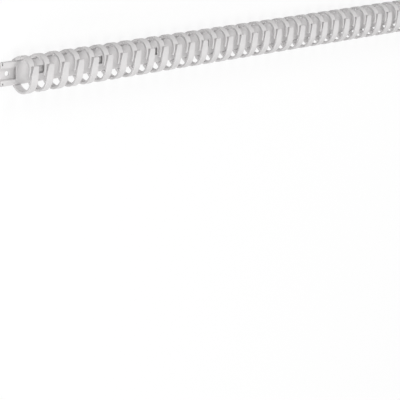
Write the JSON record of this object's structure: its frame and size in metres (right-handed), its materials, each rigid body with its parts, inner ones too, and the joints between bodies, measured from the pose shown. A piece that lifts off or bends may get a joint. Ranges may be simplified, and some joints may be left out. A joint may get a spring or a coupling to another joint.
{
  "type": "flexible cable trunking",
  "caption": "Flexible cable trunking: a flat back strip with a row of open round hoops, whose fingers lie side by side and leave a slanted slit, through which cables are pressed in.",
  "frame": {"origin": "middle of the strip's back face, which is the bottom centre of the box", "axes": "+X along the length, away from the tongue; +Y across the strip, towards the feet of the upper fingers; +Z from the back to the front of the hoops"},
  "size_m": [0.5, 0.026, 0.0224],
  "materials": {
    "trunking": "fine matt moulded plastic, light grey"
  },
  "bodies": {
    "root": {"trunking": "trunking"}
  },
  "joints": []
}
